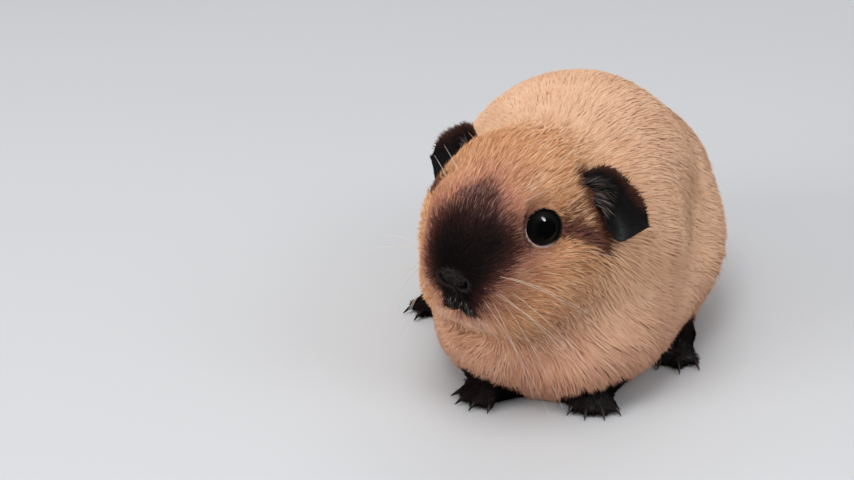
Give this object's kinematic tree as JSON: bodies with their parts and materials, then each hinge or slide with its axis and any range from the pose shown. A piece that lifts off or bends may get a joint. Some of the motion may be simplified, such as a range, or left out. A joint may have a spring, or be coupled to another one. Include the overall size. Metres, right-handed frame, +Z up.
{
  "type": "smooth-coated guinea pig display model",
  "caption": "Life-size still model of a short-haired buff guinea pig with a dark muzzle, ears and feet, crouched with its head turned to its right.",
  "frame": {"origin": "on the floor, under the middle of the animal's bounding box", "axes": "+Z up, the animal's length along Y with its rump towards +Y, its left side towards +X"},
  "size_m": [0.1112, 0.184, 0.0881],
  "materials": {
    "buff_coat": "short glossy buff fur",
    "dark_coat": "short dark brown fur",
    "ear_skin": "thin dark skin with fine hairs",
    "eye": "wet gloss",
    "claw_horn": "satin horn",
    "whisker": "fine pale hair"
  },
  "bodies": {
    "root": {"eye_left": "eye", "ear_left": "ear_skin", "eye_right": "eye", "ear_right": "ear_skin", "head": "buff_coat", "claw_forefoot_left_1": "claw_horn", "claw_forefoot_left_2": "claw_horn", "claw_forefoot_left_3": "claw_horn", "claw_forefoot_left_4": "claw_horn", "forefoot_left": "dark_coat", "claw_forefoot_right_1": "claw_horn", "claw_forefoot_right_2": "claw_horn", "claw_forefoot_right_3": "claw_horn", "claw_forefoot_right_4": "claw_horn", "forefoot_right": "dark_coat", "claw_hindfoot_left_1": "claw_horn", "claw_hindfoot_left_2": "claw_horn", "claw_hindfoot_left_3": "claw_horn", "hindfoot_left": "dark_coat", "claw_hindfoot_right_1": "claw_horn", "claw_hindfoot_right_2": "claw_horn", "claw_hindfoot_right_3": "claw_horn", "hindfoot_right": "dark_coat", "foreleg_left": "buff_coat", "foreleg_right": "buff_coat", "hindleg_left": "buff_coat", "hindleg_right": "buff_coat", "neck": "buff_coat", "trunk": "buff_coat"}
  },
  "joints": []
}
